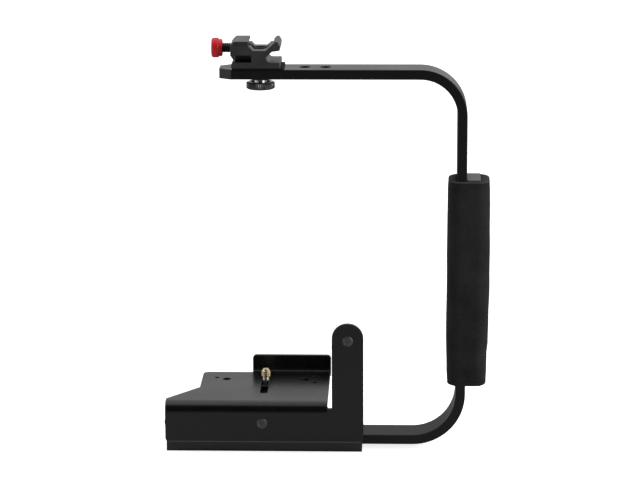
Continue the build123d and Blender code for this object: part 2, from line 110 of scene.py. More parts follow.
# Profile of a screw thread from start to end; radius is its crest, or its root when inside
def threadProfile(start, end, radius, form, steps=10, taper=0.0, inside=False):
    profile = []
    pitch, depth = form["pitch"], form["threadDepth"]
    count = max(2, int(round((end - start) / pitch * steps)))
    for i in range(count + 1):
        height = start + (end - start) * i / count

        def threadRadius(angle, height=height):
            phase = (height / pitch - angle / (2 * math.pi)) % 1.0
            flank = (1 - abs(2 * phase - 1)) * threadShape["steep"] - threadShape["rootFlat"]
            tooth = min(1.0, max(0.0, flank))
            if inside:
                return radius - depth * tooth
            ends = 1.0
            if taper:
                startTaper = taper * threadShape["startShare"]
                ends = min(1.0, (end - height) / taper, (height - start) / startTaper)
            return radius - depth + depth * min(tooth, max(0.0, ends))
        profile.append((height, threadRadius))
    return profile


# Radius of a knurled or fluted edge
def toothed(radius, count, depth, sharp=1.0):
    def radiusAt(angle):
        wave = 0.5 + 0.5 * math.cos(count * angle)
        return radius - depth * (1 - wave ** sharp)
    return radiusAt


# Radius of a six-sided socket; half its width across the flats
def sixSided(halfWidth):
    def radiusAt(angle):
        folded = (angle % (math.pi / 3)) - math.pi / 6
        return halfWidth / math.cos(folded)
    return radiusAt


# Local height becomes X
def alongX(x, z):
    return Matrix(((0, 0, 1, x), (1, 0, 0, 0), (0, 1, 0, z), (0, 0, 0, 1)))


# Local height becomes minus Y
def towardViewer(x, z):
    return Matrix(((1, 0, 0, x), (0, 0, -1, 0), (0, 1, 0, z), (0, 0, 0, 1)))


# Extent and middle of a node along one axis
def spanOf(node, axis):
    low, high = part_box(node)
    return low[axis], high[axis], (low[axis] + high[axis]) / 2


def standIn(piece, body, slotName, *nodes):
    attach(piece, body)
    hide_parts(*nodes)
    piece.data.materials.clear()
    piece.data.materials.append(materials[slotName])


# Shader helpers

# One shader node: settings first, then constant sockets, then links
def addNode(tree, kind, values=None, sources=None, **settings):
    node = tree.nodes.new("ShaderNode" + kind)
    for name, value in settings.items():
        setattr(node, name, value)
    for socket, value in (values or {}).items():
        node.inputs[socket].default_value = value
    for socket, source in (sources or {}).items():
        tree.links.new(source, node.inputs[socket])
    return node


def mapRange(tree, value, start, end, toStart=0.0, toEnd=1.0, interpolation="LINEAR"):
    limits = {"From Min": start, "From Max": end, "To Min": toStart, "To Max": toEnd}
    node = addNode(tree, "MapRange", limits, {"Value": value}, interpolation_type=interpolation)
    return node.outputs["Result"]


# A colour laid over the one below, by share
def layColour(tree, share, below, colour):
    node = addNode(tree, "Mix", {"B": (*colour, 1)}, {"Factor": share, "A": below},
                   data_type="RGBA")
    return node.outputs["Result"]


# Mix between two shaders: what all other rays see, and what the camera sees
def splitForCamera(tree, others, cameraSees):
    path = addNode(tree, "LightPath")
    return addNode(tree, "MixShader", sources={"Fac": path.outputs["Is Camera Ray"],
                                               1: others, 2: cameraSees}).outputs["Shader"]


def freshTree(owner):
    owner.use_nodes = True
    owner.node_tree.nodes.clear()
    return owner.node_tree


# Materials

noiseMiddle = (0.3, 0.7)  # the part of the mottling's span that is used
edgeWearAndHighlightAngles = (0.98, 0.80)  # cosine between face and rounded edge where the edge's wear and painted highlight start and are full
bevelSamples = 6

# What a look has where it says nothing else
plainLook = {"colourShift": 0.15, "roughShift": 0.05, "metallic": 0, "specular": 0.5, "sheen": 0,
             "grainStrength": 0.5, "grainDetail": 3, "broadSize": 0.03, "stretch": (1, 1, 1),
             "edgeRound": 0, "edgeWearAndHighlight": None, "speck": None, "dull": None, "colourAndPaintedLightBands": ()}


# Darker and lighter mottling in a colour, with flecks where the look has them
def mottledColour(tree, look, tint, fine):
    shift, base, speck = look["colourShift"], look["colour"], look["speck"]
    mottled = addNode(tree, "Mix", {"A": (*[c * (1 - shift) for c in base], 1),
                                    "B": (*[min(1, c * (1 + shift)) for c in base], 1)},
                      {"Factor": tint}, data_type="RGBA").outputs["Result"]
    if speck:
        flecks = mapRange(tree, fine.outputs["Fac"], speck["from"], speck["to"],
                          toEnd=speck["share"])
        mottled = layColour(tree, flecks, mottled, speck["colour"])
    return mottled


# Procedural finish in real sizes: broad mottling, fine grain, rounded edges lighter with wear
# and painted highlight (edgeWearAndHighlight), a duller part (dull) and bands by height
# of painted highlight, painted light and own colour (colourAndPaintedLightBands)
def makeMaterial(name, ownLook):
    look = {**plainLook, **ownLook}
    material = bpy.data.materials.new(name)
    tree = freshTree(material)
    output = addNode(tree, "OutputMaterial")
    where = addNode(tree, "TexCoord").outputs["Object"]
    height = addNode(tree, "SeparateXYZ", sources={"Vector": where}).outputs["Z"]
    stretched = addNode(tree, "Mapping", {"Scale": look["stretch"]},
                        {"Vector": where}).outputs["Vector"]
    broad = addNode(tree, "TexNoise", {"Scale": 1 / look["broadSize"], "Detail": 4},
                    {"Vector": stretched})
    fine = addNode(tree, "TexNoise", {"Scale": 1 / look["grainSize"],
                                      "Detail": look["grainDetail"], "Roughness": 0.6},
                   {"Vector": stretched})
    tint = mapRange(tree, broad.outputs["Fac"], *noiseMiddle)
    colour = mottledColour(tree, look, tint, fine)

    middle, spread = look["roughness"], look["roughShift"]
    rough = mapRange(tree, broad.outputs["Fac"], *noiseMiddle, middle - spread, middle + spread)
    dull = look["dull"]
    if dull:
        near = mapRange(tree, height, dull["from"], dull["to"])
        rough = addNode(tree, "Mix", {"B": dull["roughness"]},
                        {"Factor": near, "A": rough}).outputs["Result"]

    bump = addNode(tree, "Bump", {"Strength": look["grainStrength"],
                                  "Distance": look["grainDepth"]},
                   {"Height": fine.outputs["Fac"]})
    if look["edgeRound"]:
        rounded = addNode(tree, "Bevel", {"Radius": look["edgeRound"]},
                          samples=bevelSamples).outputs["Normal"]
        tree.links.new(rounded, bump.inputs["Normal"])
        # lighter colour laid on rounded edges: partly wear, partly a painted highlight where
        # edges catch light
        edgeWearAndHighlight = look["edgeWearAndHighlight"]
        if edgeWearAndHighlight:
            face = addNode(tree, "NewGeometry").outputs["Normal"]
            along = addNode(tree, "VectorMath", sources={0: rounded, 1: face},
                            operation="DOT_PRODUCT").outputs["Value"]
            edge = mapRange(tree, along, *edgeWearAndHighlightAngles, toEnd=edgeWearAndHighlight["share"])
            patchy = addNode(tree, "Math", sources={0: edge, 1: tint}, operation="MULTIPLY")
            colour = layColour(tree, patchy.outputs["Value"], colour, edgeWearAndHighlight["colour"])
    # bands of lighter colour by height: painted highlights and painted light, on screw necks
    # partly their own colour
    for band in look["colourAndPaintedLightBands"]:
        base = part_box(band["node"])[band["corner"]].z
        bandShare = mapRange(tree, height, base + band["from"], base + band["to"])
        colour = layColour(tree, bandShare, colour, band["colour"])

    shader = addNode(tree, "BsdfPrincipled",
                     {"Metallic": look["metallic"], "Specular IOR Level": look["specular"],
                      "Sheen Weight": look["sheen"]},
                     {"Base Color": colour, "Roughness": rough,
                      "Normal": bump.outputs["Normal"]})
    tree.links.new(shader.outputs["BSDF"], output.inputs["Surface"])
    return material


# Lengths in metres; heights of dull are above the floor, and those of colourAndPaintedLightBands
# are above the bottom (corner 0) or the top (corner 1) of the node that it names
looks = {
    "bar_black": {
        "colour": (0.0024, 0.0025, 0.0027), "colourShift": 0.2,
        "roughness": 0.27, "roughShift": 0.04, "specular": 0.42,
        "dull": {"from": 0.045, "to": 0.014, "roughness": 0.55},
        "grainSize": 0.00035, "grainDepth": 0.00002, "grainStrength": 0.35,
        "broadSize": 0.025, "edgeRound": 0.0005,
        "edgeWearAndHighlight": {"share": 0.35, "colour": (0.05, 0.05, 0.055)}},
    "sheet_black": {
        "colour": (0.0020, 0.0021, 0.0023),
        "roughness": 0.28, "roughShift": 0.04, "specular": 0.60,
        "grainSize": 0.00045, "grainDepth": 0.00002, "grainStrength": 0.4,
        "edgeRound": 0.0004,
        # edge colour: partly wear, partly a painted highlight line along the sheet's edges
        "edgeWearAndHighlight": {"share": 0.45, "colour": (0.05, 0.05, 0.055)},
        # painted highlight: a light line along the panel's bottom edge, where its rounded edge
        # catches light
        "colourAndPaintedLightBands": [{"node": "camera_platform", "corner": 0, "from": 0.0009, "to": 0.0004,
                    "colour": (0.075, 0.075, 0.076)}]},
    "rail_black": {
        "colour": (0.0085, 0.0086, 0.0088), "roughness": 0.30, "specular": 0.80,
        "grainSize": 0.00045, "grainDepth": 0.00002, "grainStrength": 0.4,
        "edgeRound": 0.0009,
        # edge colour: a painted highlight on the rail's rounded edges, where they catch the
        # floor's light, partly wear
        "edgeWearAndHighlight": {"share": 0.8, "colour": (0.06, 0.06, 0.064)}},
    "link_metal": {
        "colour": (0.07, 0.07, 0.075), "colourShift": 0.2, "roughness": 0.36, "metallic": 0.9,
        "grainSize": 0.0004, "grainDepth": 0.00001, "broadSize": 0.01, "edgeRound": 0.0003},
    "rivet_dark": {
        "colour": (0.106, 0.106, 0.110), "colourShift": 0.2, "roughness": 0.38,
        "metallic": 0.85,
        "grainSize": 0.0003, "grainDepth": 0.00001, "broadSize": 0.004, "edgeRound": 0.0005,
        # painted highlight: a light rim round the rivet head, partly wear
        "edgeWearAndHighlight": {"share": 1.0, "colour": (0.60, 0.60, 0.61)}},
    "steel": {
        "colour": (0.42, 0.42, 0.43), "colourShift": 0.1, "roughness": 0.26, "metallic": 1.0,
        "grainSize": 0.0003, "grainDepth": 0.000008, "broadSize": 0.006, "edgeRound": 0.0002,
        "stretch": (1, 1, 6)},
    "brass": {
        "colour": (0.64, 0.53, 0.33), "colourShift": 0.08, "roughness": 0.2, "metallic": 0.88,
        "grainSize": 0.0003, "grainDepth": 0.000006, "broadSize": 0.006,
        # neck and shank under the thread lighter than the brass: partly the screw's own steel
        # colour, partly a painted highlight for the glints on the neck
        "colourAndPaintedLightBands": [{"node": "screw_washer", "corner": 1, "from": 0.0049, "to": 0.0047,
                    "colour": (0.80, 0.80, 0.78)}]},
    "nylon": {
        "colour": (0.55, 0.54, 0.50), "colourShift": 0.06, "roughness": 0.45,
        "grainSize": 0.0004, "grainDepth": 0.00001, "broadSize": 0.006, "edgeRound": 0.0001},
    "washer_black": {
        "colour": (0.012, 0.012, 0.012), "colourShift": 0.1, "roughness": 0.5,
        "grainSize": 0.0004, "grainDepth": 0.00001, "broadSize": 0.006, "edgeRound": 0.0002},
    "foam": {
        "colour": (0.0192, 0.0192, 0.0195), "colourShift": 0.4,
        "roughness": 0.78, "roughShift": 0.08, "specular": 0.14, "sheen": 0.02,
        "grainSize": 0.0011, "grainDepth": 0.00016, "grainStrength": 0.8, "grainDetail": 6,
        "broadSize": 0.018,
        "speck": {"from": 0.54, "to": 0.70, "share": 0.5, "colour": (0.045, 0.045, 0.046)},
        # painted highlight: a light line along the foam's top edge; painted light: the upward
        # end face lighter, as if lit from above
        "colourAndPaintedLightBands": [{"node": "grip_foam", "corner": 1, "from": -0.0012, "to": -0.0009,
                    "colour": (0.064, 0.064, 0.065)},
                   {"node": "grip_foam", "corner": 1, "from": -0.0004, "to": -0.0002,
                    "colour": (0.040, 0.040, 0.041)}]},
    "filler_grey": {
        "colour": (0.075, 0.075, 0.078), "colourShift": 0.1, "roughness": 0.42,
        "grainSize": 0.0006, "grainDepth": 0.00003, "broadSize": 0.01, "edgeRound": 0.0006,
        # painted highlight along the filler's edges, partly wear
        "edgeWearAndHighlight": {"share": 0.5, "colour": (0.20, 0.20, 0.205)}},
    "shoe_black": {
        "colour": (0.0330, 0.0330, 0.0334), "colourShift": 0.2,
        "roughness": 0.36, "specular": 0.65,
        "grainSize": 0.0005, "grainDepth": 0.000012, "grainStrength": 0.4,
        "broadSize": 0.012, "stretch": (1, 0.12, 1), "edgeRound": 0.0004,
        "edgeWearAndHighlight": {"share": 0.45, "colour": (0.09, 0.09, 0.095)}},
    "pad_black": {
        "colour": (0.006, 0.006, 0.006), "colourShift": 0.2, "roughness": 0.85,
        "specular": 0.25,
        "grainSize": 0.0006, "grainDepth": 0.00003, "broadSize": 0.008, "edgeRound": 0.0003},
    "red_anodised": {
        "colour": (0.80, 0.024, 0.034), "colourShift": 0.06, "roughness": 0.34,
        "metallic": 0.15,
        "grainSize": 0.0003, "grainDepth": 0.000008, "broadSize": 0.005, "edgeRound": 0.0002,
        "stretch": (4, 1, 1)},
    "thread_black": {
        "colour": (0.024, 0.024, 0.025), "colourShift": 0.2, "roughness": 0.34,
        "metallic": 0.3,
        "grainSize": 0.0003, "grainDepth": 0.000008, "broadSize": 0.004, "edgeRound": 0.0001},
    "knurl_black": {
        "colour": (0.095, 0.095, 0.097), "colourShift": 0.2, "roughness": 0.18,
        "metallic": 0.8,
        "grainSize": 0.0003, "grainDepth": 0.000008, "broadSize": 0.005, "edgeRound": 0.0001,
        # lighter neck above the disc: partly the neck's own polish, partly a painted highlight
        # for its bright glints
        "colourAndPaintedLightBands": [{"node": "thumb_screw", "corner": 0, "from": 0.0041, "to": 0.0046,
                    "colour": (0.45, 0.45, 0.45)}]},
    "knob_plastic": {
        "colour": (0.012, 0.012, 0.012), "roughness": 0.4,
        "grainSize": 0.0005, "grainDepth": 0.00002, "broadSize": 0.008, "edgeRound": 0.0003},
}
materials = {name: makeMaterial(name, look) for name, look in looks.items()}
slotOf = {row["node"]: row["material_slot"] for row in frame["record"]["subparts"]}
for nodeName, node in frame["nodes"].items():
    node.data.materials.clear()
    node.data.materials.append(materials[slotOf[nodeName]])
print("materials ready")


# Camera screw: brass, with a waisted neck under its thread

cameraScrewForm = {"pitch": 1.27 * mm, "threadDepth": 0.72 * mm, "footTaper": 0.8 * mm,
                   "tableThick": 2.55 * mm,  # the sheet and the gap under it
                   "shankRadius": 2.3 * mm, "shankChamfer": 0.2 * mm, "shankEnd": 2.5 * mm,
                   "neckStart": 2.3 * mm, "neckEnd": 2.3 * mm, "neckGap": 0.1 * mm,
                   "neckFoot": 2.5 * mm, "neckTop": 2.1 * mm, "neckBend": 1.3, "neckSteps": 6,
                   "chamfer": 0.8 * mm, "tip": ((0.1 * mm, 1.15 * mm), (0, 1.2 * mm)),
                   "core": 0.3 * mm, "segments": 72}


def buildCameraScrew(form):
    left, right, x = spanOf("camera_screw", 0)
    y = spanOf("camera_screw", 1)[2]
    bottom, top, _ = spanOf("camera_screw", 2)
    tableTop = spanOf("screw_washer", 2)[1] + form["tableThick"]
    radius = (right - left) / 2
    threadStart = tableTop + form["neckEnd"]
    neckStart = tableTop - form["neckStart"]
    neckLength = threadStart - form["neckGap"] - neckStart
    profile = cornerPoints(bottom, form["shankRadius"],
                           ((0, form["shankChamfer"]), (form["shankChamfer"], 0)), 1)
    profile.append((tableTop - form["shankEnd"], form["shankRadius"]))
    for i in range(form["neckSteps"] + 1):
        share = i / form["neckSteps"]
        narrowed = (form["neckTop"] - form["neckFoot"]) * share ** form["neckBend"]
        profile.append((neckStart + neckLength * share, form["neckFoot"] + narrowed))
    profile += threadProfile(threadStart, top - form["chamfer"], radius, form,
                             taper=form["footTaper"])
    profile += cornerPoints(top, radius, form["tip"], -1) + [(top, form["core"])]
    piece = turnedPiece("cameraScrewThreaded", profile, Matrix.Translation((x, y, 0)),
                        form["segments"])
    standIn(piece, "screw", "brass", "camera_screw")


buildCameraScrew(cameraScrewForm)

# Thumb screw: knurled and dished disc, neck and threaded stud

thumbForm = {"grooves": 44, "grooveDepth": 0.45 * mm, "grooveSharp": 0.6, "pointsPerGroove": 6,
             "discThick": 4.5 * mm, "edge": ((0, 0.88 * mm), (0.12 * mm, 0.605 * mm)),
             "rimInset": 0.55 * mm, "hollowDepth": 0.35 * mm, "hollowShares": (0.60, 0.68),
             "dishRadius": 6.8 * mm, "dishDepth": 1.5 * mm, "dishEdge": 0.25 * mm,
             "dishSteps": 7, "neckRadius": 4.25 * mm, "neckFillet": 0.2 * mm,
             "neckFilletTop": 0.25 * mm, "neckTop": 1.8 * mm,
             "studRadius": 3.1 * mm, "studStep": 0.3 * mm, "studStart": 0.2 * mm,
             "studEnd": 0.3 * mm, "studChamfer": 1.0 * mm, "studTaper": 0.5 * mm,
             "pitch": 1.27 * mm, "threadDepth": 0.65 * mm, "core": 0.4 * mm}


def buildThumbScrew(form):
    left, right, _ = spanOf("thumb_screw", 0)
    bottom, top, _ = spanOf("thumb_screw", 2)
    radius = (right - left) / 2
    hollowTop = bottom + form["hollowDepth"]
    hollowInner, hollowOuter = [radius * share for share in form["hollowShares"]]
    discTop = bottom + form["discThick"]
    neckEnd = discTop + form["neckTop"]
    rim = toothed(radius, form["grooves"], form["grooveDepth"], form["grooveSharp"])
    profile = [(hollowTop, form["core"]), (hollowTop, hollowInner), (bottom, hollowOuter)]
    profile += cornerPoints(bottom, radius, form["edge"], 1)
    profile += [(bottom + form["rimInset"], rim), (discTop - form["rimInset"], rim)]
    profile += cornerPoints(discTop, radius, reversed(form["edge"]), -1)
    profile.append((discTop, form["dishRadius"] + form["dishEdge"]))
    dishWidth = form["neckRadius"] + form["neckFillet"] - form["dishRadius"]
    for i in range(form["dishSteps"] + 1):
        share = i / form["dishSteps"]
        profile.append((discTop - form["dishDepth"] * math.sin(share * quarterTurn),
                        form["dishRadius"] + dishWidth * share))
    profile += [(discTop - form["dishDepth"] + form["neckFilletTop"], form["neckRadius"]),
                (neckEnd, form["neckRadius"]), (neckEnd, form["studRadius"] - form["studStep"])]
    profile += threadProfile(neckEnd + form["studStart"], top - form["studEnd"],
                             form["studRadius"], form, steps=8, taper=form["studTaper"])
    profile += [(top, form["studRadius"] - form["studChamfer"]), (top, form["core"])]
    piece = turnedPiece("thumbScrewKnurled", profile, Matrix.Identity(4),
                        form["grooves"] * form["pointsPerGroove"], smoothAngle=40)
    standIn(piece, "thumb", "knurl_black", "thumb_screw")


buildThumbScrew(thumbForm)

# Red lock screw of the shoe: knob and threaded shaft; corner steps are shares of the edge

lockForm = {"teeth": 60, "toothDepth": 0.12 * mm, "pointsPerTooth": 5, "toothShares": (1.3, 0.9),
            "knobThick": 4.75 * mm, "stepRadius": 5.5 * mm, "stepFillet": 0.15 * mm,
            "edge": 0.85 * mm, "bandShares": (1.0, 0.6), "bandLess": 0.08 * mm,
            "hollow": ((0.55 * mm, 0.3 * mm), (0.55 * mm, 2.9 * mm), (0.2 * mm, 3.4 * mm),
                       (0, 3.9 * mm)),
            "frontCorner": ((0, 1.3), (0.35, 0.55)), "backCorner": ((0.15, 0.45), (0, 1.0)),
            "stepCorner": ((0.5, 0), (0.12, 0.2), (0, 0.6)),
            "pitch": 1.27 * mm, "threadDepth": 0.38 * mm, "shaftTaper": 0.4 * mm,
            "shaftChamfer": 0.5 * mm, "tipChamfer": 0.9 * mm, "shaftStart": 0.1 * mm,
            "shaftEnd": 0.4 * mm, "core": 0.3 * mm, "shaftSegments": 64}


def buildLockKnob(form):
    left, right, _ = spanOf("shoe_lock_knob", 0)
    low, high, middle = spanOf("shoe_lock_knob", 2)
    radius, length = (high - low) / 2, right - left
    edge, thick, step = form["edge"], form["knobThick"], form["stepRadius"]
    band = radius - form["bandLess"]
    frontBand, backBand = form["bandShares"]
    toothStart, toothEnd = form["toothShares"]
    rim = toothed(radius, form["teeth"], form["toothDepth"])
    profile = list(form["hollow"]) + cornerPoints(0, radius, form["frontCorner"], 1, edge)
    profile += [(edge * frontBand, band), (edge * toothStart, rim),
                (thick - edge * toothEnd, rim), (thick - edge * backBand, band)]
    profile += cornerPoints(thick, radius, form["backCorner"], -1, edge)
    profile += [(thick, step + form["stepFillet"]), (thick + form["stepFillet"], step)]
    profile += cornerPoints(length, step, form["stepCorner"], -1, edge)
    profile.append((length, form["core"]))
    piece = turnedPiece("lockKnobRed", profile, alongX(left, middle),
                        form["teeth"] * form["pointsPerTooth"])
    standIn(piece, "lock_screw", "red_anodised", "shoe_lock_knob")


def buildLockShaft(form):
    left, right, _ = spanOf("shoe_lock_screw", 0)
    low, high, middle = spanOf("shoe_lock_screw", 2)
    radius = (high - low) / 2
    profile = [(left, form["core"]), (left, radius - form["shaftChamfer"])]
    profile += threadProfile(left + form["shaftStart"], right - form["shaftEnd"], radius, form,
                             taper=form["shaftTaper"])
    profile += [(right, radius - form["tipChamfer"]), (right, form["core"])]
    piece = turnedPiece("lockShaftThreaded", profile, alongX(0, middle), form["shaftSegments"])
    standIn(piece, "lock_screw", "thread_black", "shoe_lock_screw")


buildLockKnob(lockForm)
buildLockShaft(lockForm)

# Rivets with a turned rim

rivetForm = {"headRadius": 3.55 * mm, "headProud": 0.75 * mm, "edge": 0.7 * mm,
             "edgeShares": ((1.0, 0), (0.3, 0.3), (0, 1.0)), "ringWidth": 0.45 * mm,
             "ringDepth": 0.12 * mm, "ringSlope": 0.1 * mm, "ringCrown": 0.8,
             "pinRadius": 3.0 * mm, "pinChamfer": 0.25 * mm, "core": 0.3 * mm, "segments": 72}


def buildRivet(name, node, form):
    x, z = spanOf(node, 0)[2], spanOf(node, 2)[2]
    front, back, _ = spanOf(node, 1)
    start, end = -back, -front
    head = end - form["headProud"]
    radius, pin = form["headRadius"], form["pinRadius"]
    ring = radius - form["edge"] - form["ringWidth"]
    profile = [(start, form["core"]), (start, pin - form["pinChamfer"]),
               (start + form["pinChamfer"], pin), (head, pin), (head, radius)]
    profile += cornerPoints(end, radius, form["edgeShares"], -1, form["edge"])
    profile += [(end, ring), (end - form["ringDepth"], ring - form["ringSlope"]),
                (end - form["ringDepth"] * form["ringCrown"], form["core"])]
    piece = turnedPiece(name, profile, towardViewer(x, z), form["segments"])
    standIn(piece, "platform", "rivet_dark", node)


buildRivet("rivetCenter", "pivot_rivet_center", rivetForm)
buildRivet("rivetArm", "pivot_rivet_arm", rivetForm)

# Countersunk screws under the rail

baseScrewForm = {"places": (-36 * mm, 24 * mm, 52 * mm), "headRadius": 4.4 * mm,
                 "headChamfer": ((0, 0.2 * mm), (0.15 * mm, 0)), "shankRadius": 2.5 * mm,
                 "coneEnd": 2.0 * mm, "threadStart": 2.7 * mm, "threadEnd": 0.2 * mm,
                 "socket": 1.75 * mm, "socketDepth": 1.6 * mm, "socketRim": 0.15 * mm,
                 "socketFlare": 1.3, "pitch": 0.8 * mm, "threadDepth": 0.4 * mm,
                 "taper": 0.4 * mm, "tipChamfer": 0.6 * mm, "socketCore": 0.2 * mm,
                 "core": 0.3 * mm, "segments": 60}


def buildBaseScrews(form):
    bottom, top, _ = spanOf("base_screws", 2)
    socketTop, socket = bottom + form["socketDepth"], sixSided(form["socket"])
    profile = [(socketTop, form["socketCore"]), (socketTop, socket),
               (bottom + form["socketRim"], socket),
               (bottom, form["socket"] * form["socketFlare"])]
    profile += cornerPoints(bottom, form["headRadius"], form["headChamfer"], 1)
    profile.append((bottom + form["coneEnd"], form["shankRadius"]))
    profile += threadProfile(bottom + form["threadStart"], top - form["threadEnd"],
                             form["shankRadius"], form, steps=8, taper=form["taper"])
    profile += [(top, form["shankRadius"] - form["tipChamfer"]), (top, form["core"])]
    points, faces = [], []
    for x in form["places"]:
        rings = turnedRings(profile, Matrix.Translation((x, 0, 0)), form["segments"])
        newPoints, newFaces = joinRings(rings, caps=True)
        faces += [tuple(len(points) + i for i in face) for face in newFaces]
        points += newPoints
    piece = meshObject("baseScrewsSocketed", points, faces, smoothAngle=30)
    standIn(piece, "frame", "steel", "base_screws")


buildBaseScrews(baseScrewForm)

# Threaded tripod bush

bushForm = {"radius": 6.0 * mm, "flangeRadius": 7.5 * mm, "flangeThick": 1.2 * mm,
            "flangeRound": 0.1 * mm, "flangeLess": 0.05 * mm, "chamfer": 0.3 * mm,
            "threadRoot": 3.475 * mm, "mouth": 0.5 * mm, "wallGap": 0.1 * mm,
            "pitch": 1.27 * mm, "threadDepth": 0.7 * mm, "segments": 72}


def buildBush(form):
    bottom, top, _ = spanOf("tripod_bush", 2)
    flange = top - form["flangeThick"]
    root, mouth, wide = form["threadRoot"], form["mouth"], form["flangeRadius"]
    chamfer = ((0, form["chamfer"]), (form["chamfer"], 0))
    profile = cornerPoints(bottom, root + mouth, ((mouth, mouth), (0, 0)), 1)
    profile += cornerPoints(bottom, form["radius"], chamfer, 1)
    profile += [(flange, form["radius"]), (flange, wide - form["flangeLess"]),
                (flange + form["flangeRound"], wide)]
    profile += cornerPoints(top, wide, reversed(chamfer), -1)
    profile += cornerPoints(top, root + mouth, ((0, 0), (mouth, mouth)), -1)
    wallInset = mouth + form["wallGap"]
    wall = threadProfile(bottom + wallInset, top - wallInset, root, form, steps=8, inside=True)
    profile += reversed(wall)
    piece = turnedPiece("tripodBushThreaded", profile, Matrix.Identity(4), form["segments"],
                        closed=True)
    standIn(piece, "frame", "steel", "tripod_bush")


buildBush(bushForm)

# Knob under the camera screw

knobForm = {"radius": 12.0 * mm, "flutes": 12, "fluteDepth": 1.35 * mm, "fluteSharp": 0.55,
            "fluteLeast": 0.35, "pointsPerFlute": 14, "lowerRound": 1.6 * mm,
            "upperRound": 0.96 * mm, "roundSteps": 6, "neckRadius": 6.5 * mm, "neck": 2.0 * mm,
            "neckFillet": 0.4 * mm, "bore": 2.36 * mm, "boreDepth": 1.0 * mm,
            "hollow": ((1.0 * mm, 0.3 * mm), (1.0 * mm, 5.5 * mm), (0.2 * mm, 6.4 * mm),
                       (0, 7.0 * mm))}


def buildKnob(form):
    x, y = spanOf("screw_knob", 0)[2], spanOf("screw_knob", 1)[2]
    bottom, top, _ = spanOf("screw_knob", 2)
    shoulder, neck, fillet = top - form["neck"], form["neckRadius"], form["neckFillet"]
    least = form["fluteLeast"]

    def fluted(inset, fullness):
        depth = form["fluteDepth"] * (least + (1 - least) * fullness)
        return toothed(form["radius"] - inset, form["flutes"], depth, form["fluteSharp"])

    turns = [quarterTurn * i / form["roundSteps"] for i in range(form["roundSteps"] + 1)]
    lower, upper = form["lowerRound"], form["upperRound"]
    profile = [(bottom + height, radius) for height, radius in form["hollow"]]
    profile += [(bottom + lower * (1 - math.cos(turn)),
                 fluted(lower * (1 - math.sin(turn)), math.sin(turn))) for turn in turns]
    profile += [(shoulder - upper * (1 - math.sin(turn)),
                 fluted(upper * (1 - math.cos(turn)), math.cos(turn))) for turn in turns]
    profile += [(shoulder, neck + fillet), (shoulder + fillet, neck), (top, neck),
                (top, form["bore"]), (top - form["boreDepth"], form["bore"])]
    piece = turnedPiece("screwKnobFluted", profile, Matrix.Translation((x, y, 0)),
                        form["flutes"] * form["pointsPerFlute"])
    standIn(piece, "screw", "knob_plastic", "screw_knob")


buildKnob(knobForm)
print("turned pieces ready")

# Foam grip; half widths and sideways shifts go with the height shares

gripForm = {"cornerShare": 0.64, "endRound": 0.9 * mm, "endSteps": 6, "rows": 130,
            "around": 168, "ripple": 0.22 * mm, "rippleSize": 0.016,
            "fine": 0.05 * mm, "fineSize": 0.0028, "fineOffset": (7, 3, 1),
            "heightShares": (0.0, 0.06, 0.15, 0.21, 0.5, 0.93, 1.0),
            "halfShares": (0.915, 0.935, 0.95, 0.985, 1.0, 0.985, 0.955),
            "sideways": (-0.6 * mm, -0.6 * mm, -0.8 * mm, -0.45 * mm, 0.0, 0.0, 0.0),
            "holeGap": 0.25 * mm, "barBeside": 6.65 * mm,  # the bar's thickness and its gaps
            "holeCorner": 0.02, "mouth": 0.35 * mm, "mouthStart": 0.05 * mm,
            "mouthEnd": 0.45 * mm}


# Points of a rounded square, spaced evenly round its outline, with their outward directions
def roundedSquare(half, corner, count):
    side = 2 * (half - corner)
    arc = quarterTurn * corner
    total = 4 * (side + arc)
    out = []
    for k in range(count):
        along = (total * k / count + side / 2) % total
        part, rest = int(along // (side + arc)), along % (side + arc)
        turn = part * quarterTurn
        if rest < side:
            local, normal = Vector((half, -side / 2 + rest)), Vector((1, 0))
        else:
            angle = (rest - side) / corner
            normal = Vector((math.cos(angle), math.sin(angle)))
            local = Vector((half - corner, half - corner)) + normal * corner
        c, s = math.cos(turn), math.sin(turn)
        out.append((Vector((local.x * c - local.y * s, local.x * s + local.y * c)),
                    Vector((normal.x * c - normal.y * s, normal.x * s + normal.y * c))))
    return out


# Smooth value between the steps of a list
def valueAt(place, places, values):
    for i in range(len(places) - 1):
        if place <= places[i + 1]:
            t = (place - places[i]) / (places[i + 1] - places[i])
            t = t * t * (3 - 2 * t)
            return values[i] * (1 - t) + values[i + 1] * t
    return values[-1]


# Heights of the grip's rings, each with its inset at the rounded ends
def gripHeights(bottom, top, form):
    bend, rows, steps = form["endRound"], form["rows"], form["endSteps"]
    turns = [quarterTurn * i / steps for i in range(steps + 1)]
    heights = [(bottom + bend * (1 - math.cos(t)), bend * (1 - math.sin(t))) for t in turns]
    heights += [(bottom + bend + (top - bottom - 2 * bend) * i / rows, 0)
                for i in range(1, rows)]
    heights += [(top - bend * (1 - math.sin(t)), bend * (1 - math.cos(t))) for t in turns]
    return heights


